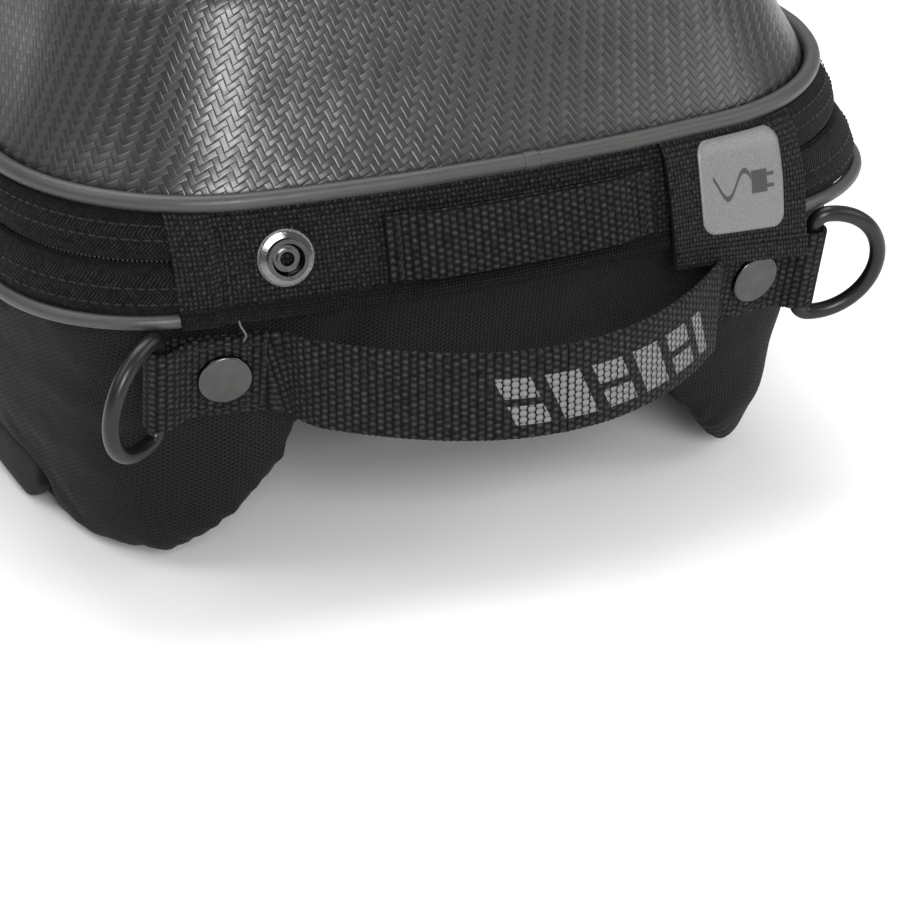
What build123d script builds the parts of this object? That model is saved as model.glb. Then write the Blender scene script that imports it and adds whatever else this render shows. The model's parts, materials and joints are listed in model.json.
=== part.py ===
from build123d import *
import os
from math import atan, atan2, cos, degrees, radians, sin, sqrt, tan

# Motorcycle tank bag. A moulded lid hinges on the front fabric panel and closes on a padded base with a zip.
# The base is a saddle: an arch runs along the bag between two legs. Magnet flaps hang along the legs.
# Frame: +X right, +Y away from the carry handle, +Z up. The origin is under the middle of the whole box,
# on the surface that the legs rest on. All sizes are millimetres.

# ---- plan of the bag at its upper piping
half_width = 121.6          # piping centre line to the middle plane
centre_length = 313.2       # piping centre line, front to rear
bow_radius = 490.0          # the front edge bows gently forward
corner_radius = 61.6
piping_radius = 2.4

# ---- heights
seam_z = 118.0              # centre of the upper piping
band_height = 29.0          # upper piping to lower piping
lid_height = 57.0           # lid above the upper piping
zip_z = seam_z - 14.3       # the slit between the two zip tapes
lower_z = seam_z - band_height

# ---- the zipped band flares out on its way down
flare = 6.5
lower_corner = 44.5
lower_piping_radius = 2.0
tape_thickness = 1.6
zip_end_x = 90.5            # the front panel sits between the two zip ends

# ---- what stands proud at the front and rear decides where the middle is
handle_reach = 42.6         # outer face of the handle in front of the upper piping
slider_reach = 12.1         # outer face of the zip pulls behind the upper piping
front_y = (handle_reach - centre_length - slider_reach) / 2
rear_y = front_y + centre_length

# ---- lid
lid_lean = 24.5             # degrees that the lid walls lean in
lid_wall = 3.0
lid_top_radius = 14.0
liner = 0.8

# ---- padded base
wall_lean = 12.5            # degrees that the base walls lean in
base_wall = 8.0
base_top = 91.2
base_grow = 4.2             # base wall outside the piping line at its top
base_corner_spread = 24.0   # how much rounder the corners are at the floor
arch_top = 61.0
pad_thickness = 2.5
floor_z = 70.0              # underside of the floor board
board_thickness = 2.4
rocker_flat = 108.0         # from each end of the bag to where the legs touch the floor
rocker_lift = 24.0          # height of the leg ends over the floor

# ---- side flaps
flap_outer_x = 111.0
flap_thickness = 6.0
flap_y = (72.0, 241.0)      # along the bag, from the front of the piping
flap_top, flap_bottom = 19.0, 1.6

# ---- webbing, handle and rings
webbing = 25.4
webbing_thickness = 1.6
handle_z = seam_z - 47.2
rivet_x = 78.3
rivet_radius = 7.5
handle_end_x = 60.0         # the swinging strap ends here, and the sewn ends begin
tab_end_x = 64.6
handle_sag = 0.0084         # the handle in plan is a parabola: depth = sag * x squared
ring_x = 96.0
ring_height, ring_reach, ring_wire = 38.2, 24.0, 2.3
left_ring_swing, right_ring_swing = 36.0, 8.0

# ---- front panel trim
loop_x = (-35.0, 44.0)
loop_z = (seam_z - 28.0, seam_z - 9.0)
snap_x, snap_z = -62.0, seam_z - 15.5
cable_x = (47.6, 97.0)
cable_bottom_z = (85.4, 80.2)
label_x = (59.5, 88.5)
label_z = (seam_z - 31.0, seam_z - 4.0)
port_x = 66.0
gap = 0.2                   # clearance between neighbouring pieces of one body

os.makedirs("parts", exist_ok=True)


def finish(piece, name):
    """Label a finished piece and write its STEP file."""
    piece.label = name
    export_step(piece, f"parts/{name}.step")


# ------------------------------------------------------------------ plans and rings

def plan_outline(height, grow, corner):
    """Plan of the bag at a height: bowed front, straight sides and rear, round corners."""
    half, front, rear, bow = half_width + grow, front_y - grow, rear_y + grow, bow_radius + grow
    corner_x = half - corner
    bow_y = front + bow
    corner_y = bow_y - sqrt((bow - corner) ** 2 - corner_x ** 2)
    bow_sweep = degrees(atan2(corner_x, bow_y - corner_y))
    with BuildSketch(Plane.XY.offset(height)) as plan:
        with BuildLine():
            CenterArc((0, bow_y), bow, 270, bow_sweep)
            CenterArc((corner_x, corner_y), corner, 270 + bow_sweep, 90 - bow_sweep)
            Line((half, corner_y), (half, rear - corner))
            CenterArc((corner_x, rear - corner), corner, 0, 90)
            Line((corner_x, rear), (0, rear))
            mirror(about=Plane.YZ)
        make_face()
    return plan.sketch


def band_plan(height, outset):
    """Plan of the zipped band at a height, moved outward by outset."""
    down = (seam_z - height) / band_height
    corner = corner_radius + (lower_corner - corner_radius) * down
    return plan_outline(height, flare * down + outset, corner + outset)


def base_plan(height, inset):
    """Plan of the padded base at a height, moved inward by inset."""
    down = base_top - height
    grow = base_grow - down * tan(radians(wall_lean))
    corner = lower_corner + base_corner_spread * down / base_top
    return plan_outline(height, grow - inset, corner - inset)


def lid_plan(height, inset):
    """Plan of the moulded lid at a height, moved inward by inset."""
    foot = piping_radius + 2 * gap
    lean = (height - seam_z) * tan(radians(lid_lean))
    return plan_outline(height, -foot - lean - inset, corner_radius - foot - 0.6 * lean - inset)


def ring_wall(plan, top, bottom, outer, inner):
    """A wall that follows one of the plans, between two heights and two offsets."""
    with BuildPart() as wall:
        loft([plan(bottom, outer), plan(top, outer)], ruled=True)
        loft([plan(bottom - 0.01, inner), plan(top + 0.01, inner)], ruled=True, mode=Mode.SUBTRACT)
    return wall.part


def front_block(x_low, x_high, z_low, z_high):
    """A block that picks out a stretch of the front, used to keep or cut part of a ring."""
    with BuildPart() as block:
        with Locations(((x_low + x_high) / 2, front_y, (z_low + z_high) / 2)):
            Box(x_high - x_low, 90, z_high - z_low)
    return block.part


def bow_depth(x, outset=0.0):
    """How far behind its middle the bowed front edge lies at x."""
    return bow_radius + outset - sqrt((bow_radius + outset) ** 2 - x ** 2)


def band_front_y(x, height):
    """Front surface of the band at x and a height."""
    return front_y - flare * (seam_z - height) / band_height + bow_depth(x)


def base_front_y(x, height):
    """Front surface of the padded base at x and a height."""
    lean = (base_top - height) * tan(radians(wall_lean))
    return front_y - base_grow + lean + bow_depth(x)


# ------------------------------------------------------------------ lid

with BuildPart() as lid_shell:
    loft([lid_plan(seam_z - piping_radius, 0), lid_plan(seam_z + lid_height, 0)], ruled=True)
    fillet(lid_shell.faces().sort_by(Axis.Z)[-1].edges(), lid_top_radius)
    with BuildPart(mode=Mode.PRIVATE) as lid_core:
        loft([lid_plan(seam_z - 4, lid_wall), lid_plan(seam_z + lid_height - lid_wall, lid_wall)], ruled=True)
        fillet(lid_core.faces().sort_by(Axis.Z)[-1].edges(), lid_top_radius - lid_wall)
    add(lid_core.part, mode=Mode.SUBTRACT)
finish(lid_shell.part, "lid_shell")

liner_top = seam_z + lid_height - lid_wall - gap
with BuildPart() as lid_liner:
    loft([lid_plan(seam_z, lid_wall + gap), lid_plan(liner_top, lid_wall + gap)], ruled=True)
    fillet(lid_liner.faces().sort_by(Axis.Z)[-1].edges(), lid_top_radius - lid_wall - gap)
    with BuildPart(mode=Mode.PRIVATE) as liner_core:
        core_inset = lid_wall + gap + liner
        loft([lid_plan(seam_z - 2, core_inset), lid_plan(liner_top - liner, core_inset)], ruled=True)
        fillet(liner_core.faces().sort_by(Axis.Z)[-1].edges(), lid_top_radius - lid_wall - gap - liner)
    add(liner_core.part, mode=Mode.SUBTRACT)
finish(lid_liner.part, "lid_liner")

# Flat mesh pocket under the lid's ceiling, open towards the rear.
pocket_width, pocket_length, pocket_drop, pocket_wall, pocket_y = 150.0, 150.0, 12.0, 1.2, -6.0
pocket_top = liner_top - liner - gap
with BuildPart() as lid_pocket:
    with Locations((0, pocket_y, pocket_top - pocket_drop / 2)):
        Box(pocket_width, pocket_length, pocket_drop)
    with Locations((0, pocket_y + pocket_wall, pocket_top - (pocket_drop - pocket_wall) / 2)):
        Box(pocket_width - 2 * pocket_wall, pocket_length, pocket_drop - pocket_wall, mode=Mode.SUBTRACT)
finish(lid_pocket.part, "lid_pocket")

with BuildPart() as upper_piping:
    with BuildSketch(Plane(origin=(0, front_y, seam_z), x_dir=(0, 1, 0), z_dir=(1, 0, 0))):
        Circle(piping_radius)
    sweep(path=plan_outline(seam_z, 0, corner_radius).face().outer_wire())
finish(upper_piping.part, "upper_piping")

# ------------------------------------------------------------------ zip

tape_top, tape_bottom = seam_z - piping_radius - gap, lower_z + lower_piping_radius + gap
slit_half = 0.8
coil_height = 3.6
panel_window = front_block(-zip_end_x, zip_end_x, 0, seam_z + 20)

with BuildPart() as zip_tape_upper:
    add(ring_wall(band_plan, tape_top, zip_z + slit_half, 0, -tape_thickness))
    add(panel_window, mode=Mode.SUBTRACT)
finish(zip_tape_upper.part, "zip_tape_upper")

with BuildPart() as zip_tape_lower:
    add(ring_wall(band_plan, zip_z - slit_half, tape_bottom, 0, -tape_thickness))
    add(panel_window, mode=Mode.SUBTRACT)
finish(zip_tape_lower.part, "zip_tape_lower")

coil_outer, coil_inner = -tape_thickness - gap, -tape_thickness - gap - 1.8
coil_start, coil_stop = slit_half / 2, slit_half / 2 + coil_height
with BuildPart() as zip_coil_upper:
    add(ring_wall(band_plan, zip_z + coil_stop, zip_z + coil_start, coil_outer, coil_inner))
    add(panel_window, mode=Mode.SUBTRACT)
finish(zip_coil_upper.part, "zip_coil_upper")

with BuildPart() as zip_coil_lower:
    add(ring_wall(band_plan, zip_z - coil_start, zip_z - coil_stop, coil_outer, coil_inner))
    add(panel_window, mode=Mode.SUBTRACT)
finish(zip_coil_lower.part, "zip_coil_lower")

# Two sliders meet at the middle of the straight rear edge. Each carries a pull that hangs from a pin.
band_lean = degrees(atan(flare / band_height))
slider_length, slider_height, slider_depth, slider_clear = 14.0, 9.0, 3.2, 1.1
lug_out, lug_up, lug_width, lug_half = 7.4, 1.0, 2.0, 1.4
pin_radius, pin_length = 0.9, 5.6
pull_bore, pull_barrel, pull_width, pull_length, pull_thickness = 1.0, 1.9, 8.0, 30.0, 1.6
rear_face = Plane(origin=(0, rear_y + flare * (seam_z - zip_z) / band_height, zip_z), x_dir=(-1, 0, 0),
                  z_dir=(0, cos(radians(band_lean)), sin(radians(band_lean))))
pull_axis = rear_face.from_local_coords(Vector(0, lug_up, lug_out))

for side, name in ((-1, "left"), (1, "right")):
    slider_x = side * (slider_length / 2 + 1.0)
    with BuildPart(rear_face.shift_origin(rear_face.from_local_coords(Vector(-slider_x, 0, 0)))) as zip_slider:
        with Locations((0, 0, slider_clear)):
            Box(slider_length, slider_height, slider_depth, align=(Align.CENTER, Align.CENTER, Align.MIN))
        fillet(zip_slider.edges().filter_by(Axis(rear_face.origin, rear_face.z_dir)), 2.4)
        with Locations((0, lug_up, slider_clear + slider_depth)):
            Box(lug_width, 2 * lug_half, lug_out - slider_clear - slider_depth,
                align=(Align.CENTER, Align.CENTER, Align.MIN))
        with Locations((0, lug_up, lug_out)):
            Cylinder(lug_half, lug_width, rotation=(0, 90, 0))
            Cylinder(pin_radius, pin_length, rotation=(0, 90, 0))
    finish(zip_slider.part, f"zip_slider_{name}")

    with BuildPart(Plane.XY.offset(pull_axis.Z)) as zip_pull:
        with Locations((slider_x, pull_axis.Y, 0)):
            Cylinder(pull_barrel, pull_width, rotation=(0, 90, 0))
            Box(pull_width, pull_thickness, pull_length, align=(Align.CENTER, Align.CENTER, Align.MAX))
        fillet(zip_pull.edges().filter_by(Axis.Y).group_by(Axis.Z)[0], 2.5)
        with Locations((slider_x, pull_axis.Y, 0)):
            Cylinder(pull_bore, pull_width + 1, rotation=(0, 90, 0), mode=Mode.SUBTRACT)
            Box(lug_width + 0.6, 6, 2 * pull_barrel + 2, mode=Mode.SUBTRACT)
    finish(zip_pull.part, f"zip_pull_{name}")


# ------------------------------------------------------------------ front panel and what is on it

def front_plane(x, height, outset):
    """Plane on the band's front surface, with its normal pointing out of the bag."""
    turn, lean = atan2(x, bow_radius), radians(band_lean)
    normal = Vector(sin(turn) * cos(lean), -cos(turn) * cos(lean), sin(lean))
    point = Vector(x, band_front_y(x, height), height) + normal * outset
    return Plane(origin=point, x_dir=(cos(turn), sin(turn), 0), z_dir=normal)


panel_outer, panel_inner = 0.6, -2.4
panel_top, panel_bottom = seam_z - 6.5, lower_z - 1.5
snap_bore, snap_post = 2.7, 2.5
snap_washer_radius, snap_washer_thickness = 7.7, 0.5
port_length, port_height, port_wall, port_rim, port_depth = 20.0, 8.0, 1.4, 4.5, 5.0
snap_plane, port_plane = front_plane(snap_x, snap_z, panel_outer), front_plane(port_x, zip_z, panel_outer)

with BuildPart() as front_panel:
    add(ring_wall(band_plan, panel_top, panel_bottom, panel_outer, panel_inner))
    add(front_block(gap - zip_end_x, zip_end_x - gap, 0, seam_z + 20), mode=Mode.INTERSECT)
    with BuildSketch(snap_plane):
        Circle(snap_bore)
    with BuildSketch(port_plane):
        SlotOverall(port_length + 2 * port_wall + gap, port_height + 2 * port_wall + gap)
    extrude(amount=8, both=True, mode=Mode.SUBTRACT)
finish(front_panel.part, "front_panel")

with BuildPart(snap_plane) as snap_washer:
    with Locations((0, 0, gap)):
        Cylinder(snap_washer_radius, snap_washer_thickness, align=(Align.CENTER, Align.CENTER, Align.MIN))
        Cylinder(snap_bore, 3, mode=Mode.SUBTRACT)
finish(snap_washer.part, "snap_washer")

# Hollow snap stud: a flange, a raised ring with a rounded lip, and a tubular post through the panel.
snap_ring, snap_proud, snap_flange, snap_base = 5.5, 3.3, 7.1, 0.8
with BuildPart() as snap_stud:
    with BuildSketch(Plane(origin=snap_plane.origin, x_dir=snap_plane.x_dir, z_dir=-snap_plane.y_dir)):
        with BuildLine():
            Polyline((1.95, -4.4), (1.95, 2.4), (2.65, 2.4), (2.65, 1.5), (3.6, 1.5), (4.4, 2.6),
                     (4.4, snap_proud + snap_base), (snap_ring, snap_proud + snap_base), (snap_ring, 1.7),
                     (snap_flange, 1.3), (snap_flange, snap_base), (snap_post, snap_base), (snap_post, -4.4),
                     close=True)
        make_face()
    revolve(axis=Axis(snap_plane.origin, snap_plane.z_dir))
finish(snap_stud.part, "snap_stud")

with BuildPart(snap_plane) as snap_backing:
    with Locations((0, 0, panel_inner - panel_outer - gap)):
        Cylinder(7.0, 1.0, align=(Align.CENTER, Align.CENTER, Align.MAX))
        Cylinder(snap_bore, 6, mode=Mode.SUBTRACT)
finish(snap_backing.part, "snap_backing")

with BuildPart() as cable_port:
    with BuildSketch(port_plane.offset(gap)):
        SlotOverall(port_length + 2 * port_rim, port_height + 2 * port_rim)
    extrude(amount=0.8)
    with BuildSketch(port_plane.offset(gap)):
        SlotOverall(port_length + 2 * port_wall, port_height + 2 * port_wall)
    extrude(amount=-port_depth)
    with BuildSketch(port_plane):
        SlotOverall(port_length, port_height)
    extrude(amount=8, both=True, mode=Mode.SUBTRACT)
finish(cable_port.part, "cable_port")

# Webbing loop: a strap that stands off the panel between its two sewn ends.
loop_inner, loop_end = 3.0, 8.0
with BuildPart() as webbing_loop:
    add(ring_wall(band_plan, loop_z[1], loop_z[0], loop_inner + webbing_thickness, panel_outer + gap))
    add(front_block(loop_x[0], loop_x[1], 0, seam_z + 20), mode=Mode.INTERSECT)
    with BuildPart(mode=Mode.PRIVATE) as loop_gap:
        add(ring_wall(band_plan, loop_z[1] + 1, loop_z[0] - 1, loop_inner, -4))
        add(front_block(loop_x[0] + loop_end, loop_x[1] - loop_end, 0, seam_z + 20), mode=Mode.INTERSECT)
    add(loop_gap.part, mode=Mode.SUBTRACT)
finish(webbing_loop.part, "webbing_loop")

# Cable flap: hangs from the piping seam over the cable port and wraps the right front corner.
flap_inner, flap_wall = 3.6, 1.6
cable_top = seam_z - 1.6
with BuildPart() as cable_flap:
    add(ring_wall(band_plan, cable_top, cable_bottom_z[1] - 1, flap_inner + flap_wall, flap_inner))
    with BuildSketch(Plane.XZ):
        Polygon((cable_x[0], cable_bottom_z[0]), (cable_x[1], cable_bottom_z[1]), (cable_x[1], seam_z + 9),
                (cable_x[0], seam_z + 9), align=None)
    extrude(amount=-front_y + 40, mode=Mode.INTERSECT)
finish(cable_flap.part, "cable_flap")

with BuildPart() as flap_label:
    add(ring_wall(band_plan, label_z[1], label_z[0], flap_inner + flap_wall + 0.6, flap_inner + flap_wall + 0.1))
    add(front_block(label_x[0], label_x[1], 0, seam_z + 20), mode=Mode.INTERSECT)
finish(flap_label.part, "flap_label")

patch_x, patch_z = (81.5, 89.5), (93.0, 110.0)
with BuildPart() as loop_patch:
    add(ring_wall(band_plan, patch_z[1], patch_z[0], 1.4, panel_outer + gap))
    add(front_block(patch_x[0], patch_x[1], 0, seam_z + 20), mode=Mode.INTERSECT)
finish(loop_patch.part, "loop_patch")

with BuildPart() as hook_patch:
    add(ring_wall(band_plan, patch_z[1], patch_z[0], flap_inner - 2 * gap, 2.2))
    add(front_block(patch_x[0], patch_x[1], 0, seam_z + 20), mode=Mode.INTERSECT)
finish(hook_patch.part, "hook_patch")


# ------------------------------------------------------------------ padded base

def arch_profile(spread):
    """Section of the tunnel between the legs, grown by spread."""
    with BuildSketch(Plane.XZ) as arch:
        with BuildLine():
            Polyline((89.3, -2), (47, arch_top), (-47, arch_top), (-89.3, -2), close=True)
        make_face()
        fillet(arch.vertices().group_by(Axis.Y)[-1], 18)
        if spread:
            offset(amount=spread)
    return arch.sketch


def under_legs():
    """What is cut away below the legs: each end rises on a rocker curve, and the middle stays on the floor."""
    radius = (rocker_flat ** 2 + rocker_lift ** 2) / (2 * rocker_lift)
    run = rocker_flat + 30
    with BuildPart() as below:
        with BuildSketch(Plane.YZ):
            with BuildLine():
                ends = []
                for flat_y, way in ((front_y + rocker_flat, -1), (rear_y - rocker_flat, 1)):
                    rise = [(flat_y + way * step, radius - sqrt(radius ** 2 - step ** 2))
                            for step in (0, run / 2, run)]
                    ThreePointArc(*rise)
                    ends.append(rise)
                Line(ends[0][0], ends[1][0])
                Polyline(ends[0][2], (ends[0][2][0], -5), (ends[1][2][0], -5), ends[1][2])
            make_face()
        extrude(amount=half_width + 30, both=True)
    return below.part


cavity_top = base_top + 1
tab_turn = radians(9.5)
rivet_origin = Vector(rivet_x, base_front_y(rivet_x, handle_z), handle_z)
wall_up = Vector(0, -sin(radians(wall_lean)), cos(radians(wall_lean)))
tab_x = Vector(cos(tab_turn), sin(tab_turn), 0)
tab_plane = Plane(origin=rivet_origin, x_dir=tab_x, z_dir=tab_x.cross(wall_up))
washer_depth, washer_radius, washer_thickness, rivet_post = 6.0, 6.5, 1.0, 2.2
flap_low_y, flap_high_y = front_y + flap_y[0], front_y + flap_y[1]
notch_x = flap_outer_x - flap_thickness - 0.6
legs_cut = under_legs()

with BuildPart() as base_shell:
    loft([base_plan(-1, 0), base_plan(base_top, 0)], ruled=True)
    loft([base_plan(floor_z, base_wall), base_plan(cavity_top, base_wall)], ruled=True, mode=Mode.SUBTRACT)
    with BuildPart(mode=Mode.PRIVATE) as panel_room:
        add(ring_wall(band_plan, base_top + 1, panel_bottom - gap, panel_outer + 2, panel_inner - gap))
        add(panel_window, mode=Mode.INTERSECT)
    add(panel_room.part, mode=Mode.SUBTRACT)
    extrude(arch_profile(pad_thickness + gap), amount=centre_length, both=True, mode=Mode.SUBTRACT)
    add(legs_cut, mode=Mode.SUBTRACT)
    for side in (-1, 1):
        with Locations((side * (notch_x + 20), (flap_low_y + flap_high_y) / 2, 0)):
            Box(40, flap_high_y - flap_low_y + 3, 2 * (flap_top + 1.4), mode=Mode.SUBTRACT)
    with BuildPart(tab_plane, mode=Mode.PRIVATE) as rivet_hole:
        Cylinder(rivet_post + gap, 2 * (washer_depth + 0.5))
        with Locations((0, 0, -washer_depth - gap)):
            Cylinder(washer_radius + gap, washer_thickness + 2 * gap,
                     align=(Align.CENTER, Align.CENTER, Align.MIN))
        mirror(about=Plane.YZ)
    add(rivet_hole.part, mode=Mode.SUBTRACT)
finish(base_shell.part, "base_shell")

with BuildPart() as saddle_pad:
    extrude(arch_profile(pad_thickness), amount=centre_length / 2 + 20, both=True)
    extrude(arch_profile(0), amount=centre_length, both=True, mode=Mode.SUBTRACT)
    with BuildPart(mode=Mode.PRIVATE) as pad_envelope:
        loft([base_plan(0.4, 3), base_plan(base_top, 3)], ruled=True)
        add(legs_cut, mode=Mode.SUBTRACT)
    add(pad_envelope.part, mode=Mode.INTERSECT)
finish(saddle_pad.part, "saddle_pad")

with BuildPart() as floor_board:
    board_plans = [base_plan(height, base_wall + 1) for height in (floor_z + gap, floor_z + board_thickness)]
    loft(board_plans, ruled=True)
finish(floor_board.part, "floor_board")

liner_floor, liner_rim = floor_z + board_thickness + gap, zip_z - 3.0
with BuildPart() as base_liner:
    liner_plans = [base_plan(liner_floor, base_wall + 1), plan_outline(liner_rim, -5.4, lower_corner)]
    core_plans = [base_plan(liner_floor + liner, base_wall + 1 + liner),
                  plan_outline(liner_rim + 0.01, -5.4 - liner, lower_corner - liner)]
    loft(liner_plans, ruled=True)
    loft(core_plans, ruled=True, mode=Mode.SUBTRACT)
finish(base_liner.part, "base_liner")

with BuildPart() as lower_piping:
    with BuildSketch(Plane(origin=(0, front_y - flare, lower_z), x_dir=(0, 1, 0), z_dir=(1, 0, 0))):
        Circle(lower_piping_radius)
    sweep(path=plan_outline(lower_z, flare, lower_corner).face().outer_wire())
    add(panel_window, mode=Mode.SUBTRACT)
finish(lower_piping.part, "lower_piping")

# Magnet flaps hang along the legs. Bar magnets are sealed inside each.
magnet_size, magnet_count = (2.6, 34.0, 11.0), 4
flap_middle_y = (flap_low_y + flap_high_y) / 2
for side, name in ((-1, "left"), (1, "right")):
    flap_x = side * (flap_outer_x - flap_thickness / 2)
    flap_centre = (flap_x, flap_middle_y, (flap_top + flap_bottom) / 2)
    magnet_places = [(flap_x, flap_middle_y + 40 * (place - (magnet_count - 1) / 2), flap_centre[2])
                     for place in range(magnet_count)]
    with BuildPart() as side_flap:
        with Locations(flap_centre):
            Box(flap_thickness, flap_high_y - flap_low_y, flap_top - flap_bottom)
        fillet(side_flap.edges().filter_by(Axis.X).group_by(Axis.Z)[0], 9)
        with Locations(*magnet_places):
            Box(*(size + 2 * gap for size in magnet_size), mode=Mode.SUBTRACT)
    finish(side_flap.part, f"side_flap_{name}")
    with BuildPart() as magnets:
        with Locations(*magnet_places):
            Box(*magnet_size)
    finish(magnets.part, f"magnets_{name}")

# ------------------------------------------------------------------ handle, tabs, rivets and rings

strap_middle_y = front_y - handle_reach + webbing_thickness / 2
strap_end_y = strap_middle_y + handle_sag * handle_end_x ** 2
with BuildPart() as handle_strap:
    with BuildSketch(Plane.XY.offset(handle_z - webbing / 2)):
        with BuildLine():
            Bezier((-handle_end_x, strap_end_y), (0, 2 * strap_middle_y - strap_end_y),
                   (handle_end_x, strap_end_y))
        trace(line_width=webbing_thickness)
    extrude(amount=webbing)
finish(handle_strap.part, "handle_strap")

# Each end of the webbing turns back round a D-ring bar and is sewn and riveted to the base.
layers, tab_clear = 2 * webbing_thickness, 1.2
bar_bore, bar_local_x, bar_local_z = ring_wire + 0.2, (ring_x - rivet_x) / cos(tab_turn), 5.0
slab_x = (tab_end_x - rivet_x) / cos(tab_turn), bar_local_x - 6.0
bar_point = tab_plane.from_local_coords(Vector(bar_local_x, 0, bar_local_z))
slab_end = tab_plane.from_local_coords(Vector(slab_x[0] + 0.6, 0, tab_clear + layers / 2))
tab_section = Plane(origin=tab_plane.origin, x_dir=tab_plane.x_dir, z_dir=-tab_plane.y_dir)

with BuildPart() as tab_right:
    with BuildSketch(tab_section):
        with BuildSketch(mode=Mode.PRIVATE) as wrap:
            with Locations((bar_local_x, bar_local_z)):
                Circle(bar_bore + webbing_thickness)
            with Locations((slab_x[1], tab_clear + layers / 2)):
                Rectangle(0.5, layers)
            make_hull()
        add(wrap.sketch)
        with Locations(((slab_x[0] + slab_x[1]) / 2, tab_clear + layers / 2)):
            Rectangle(slab_x[1] - slab_x[0], layers)
        with Locations((bar_local_x, bar_local_z)):
            Circle(bar_bore, mode=Mode.SUBTRACT)
    extrude(amount=webbing / 2, both=True)
    with BuildSketch(Plane.XY.offset(handle_z - webbing / 2)):
        with BuildLine():
            Line((slab_end.X, slab_end.Y), (handle_end_x + 1.5, strap_end_y + 1.5))
        trace(line_width=webbing_thickness)
    extrude(amount=webbing)
    with BuildSketch(tab_plane):
        Circle(rivet_post + gap)
    extrude(amount=10, both=True, mode=Mode.SUBTRACT)
finish(tab_right.part, "tab_right")

with BuildPart() as tab_left:
    mirror(tab_right.part, about=Plane.YZ)
finish(tab_left.part, "tab_left")

cap_floor, cap_thickness = tab_clear + layers + 0.1, 1.3
with BuildPart() as rivets:
    with BuildPart(tab_plane, mode=Mode.PRIVATE) as rivet:
        with Locations((0, 0, cap_floor)):
            Cylinder(rivet_radius, cap_thickness, align=(Align.CENTER, Align.CENTER, Align.MIN))
        fillet(rivet.edges().sort_by(Axis(tab_plane.origin, tab_plane.z_dir))[-1], 0.7)
        with Locations((0, 0, cap_floor)):
            Cylinder(rivet_post, cap_floor + washer_depth - 0.1, align=(Align.CENTER, Align.CENTER, Align.MAX))
    add(rivet.part)
    mirror(rivet.part, about=Plane.YZ)
finish(rivets.part, "rivets")

with BuildPart() as rivet_washers:
    with BuildPart(tab_plane, mode=Mode.PRIVATE) as washer:
        with Locations((0, 0, -washer_depth)):
            Cylinder(washer_radius, washer_thickness, align=(Align.CENTER, Align.CENTER, Align.MIN))
            Cylinder(rivet_post + 0.1, 4 * washer_thickness, mode=Mode.SUBTRACT)
    add(washer.part)
    mirror(washer.part, about=Plane.YZ)
finish(rivet_washers.part, "rivet_washers")

ring_radius, ring_corner, bar_up = ring_height / 2 - ring_wire, 4.0, tab_plane.y_dir
for side, name, swing in ((-1, "left", left_ring_swing), (1, "right", right_ring_swing)):
    out = Vector(cos(radians(swing)), -sin(radians(swing)), 0)
    ring_plane = Plane(origin=bar_point, x_dir=out - bar_up * out.dot(bar_up), z_dir=out.cross(bar_up))
    straight_end = ring_reach - ring_wire - ring_radius
    with BuildPart() as ring:
        with BuildLine(ring_plane) as ring_path:
            Line((0, 0), (0, ring_radius - ring_corner))
            CenterArc((ring_corner, ring_radius - ring_corner), ring_corner, 180, -90)
            Line((ring_corner, ring_radius), (straight_end, ring_radius))
            CenterArc((straight_end, 0), ring_radius, 90, -180)
            Line((straight_end, -ring_radius), (ring_corner, -ring_radius))
            CenterArc((ring_corner, ring_corner - ring_radius), ring_corner, 270, -90)
            Line((0, ring_corner - ring_radius), (0, 0))
        with BuildSketch(Plane(origin=bar_point, x_dir=ring_plane.x_dir, z_dir=bar_up)):
            Circle(ring_wire)
        sweep()
    if side < 0:
        with BuildPart() as ring_mirrored:
            mirror(ring.part, about=Plane.YZ)
        finish(ring_mirrored.part, "ring_left")
    else:
        finish(ring.part, "ring_right")
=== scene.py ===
import bpy
import json
import math
import numpy as np
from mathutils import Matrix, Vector, noise


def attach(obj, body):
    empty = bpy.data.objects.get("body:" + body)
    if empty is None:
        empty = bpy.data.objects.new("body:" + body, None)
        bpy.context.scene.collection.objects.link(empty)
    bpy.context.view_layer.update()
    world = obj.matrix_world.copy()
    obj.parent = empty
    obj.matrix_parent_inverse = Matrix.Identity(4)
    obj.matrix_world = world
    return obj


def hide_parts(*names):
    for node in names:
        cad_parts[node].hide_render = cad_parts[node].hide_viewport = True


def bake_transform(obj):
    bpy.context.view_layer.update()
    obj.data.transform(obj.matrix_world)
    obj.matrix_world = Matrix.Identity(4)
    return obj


# Motorcycle tank bag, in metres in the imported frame. Lengths below are millimetres until a mesh is made.
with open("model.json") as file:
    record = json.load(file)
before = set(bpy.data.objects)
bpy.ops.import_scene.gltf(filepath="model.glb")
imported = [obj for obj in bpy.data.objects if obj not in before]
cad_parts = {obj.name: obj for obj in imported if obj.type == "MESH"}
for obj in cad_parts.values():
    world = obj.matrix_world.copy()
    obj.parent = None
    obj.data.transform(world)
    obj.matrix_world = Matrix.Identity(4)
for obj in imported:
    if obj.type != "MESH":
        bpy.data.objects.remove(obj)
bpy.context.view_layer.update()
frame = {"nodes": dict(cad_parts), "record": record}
nodes = frame["nodes"]
MM = 0.001

# ---- plan of the bag: bowed front, straight sides and rear, round corners
HALF, FRONT, REAR = 121.6, -141.35, 171.85
BOW, CORNER, LOW_CORNER = 490.0, 61.6, 44.5
SEAM_Z, LOWER_Z = 118.0, 89.0
BAND, FLARE = 29.0, 6.5
ZIP_END = 88.5          # the zip tapes stop here, on either side of the front panel
PANEL_HEM = 91.2        # the panel's folded side edges


LABEL_MIDDLE = (14.5, 13.5)     # the label's middle in its own flat coordinates


# ------------------------------------------------------------------ materials

def operator(name):
    """A method that feeds a Value, and what it meets, to a maths node."""
    return lambda self, *others: self.shader.m(name, self, *others)


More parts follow.
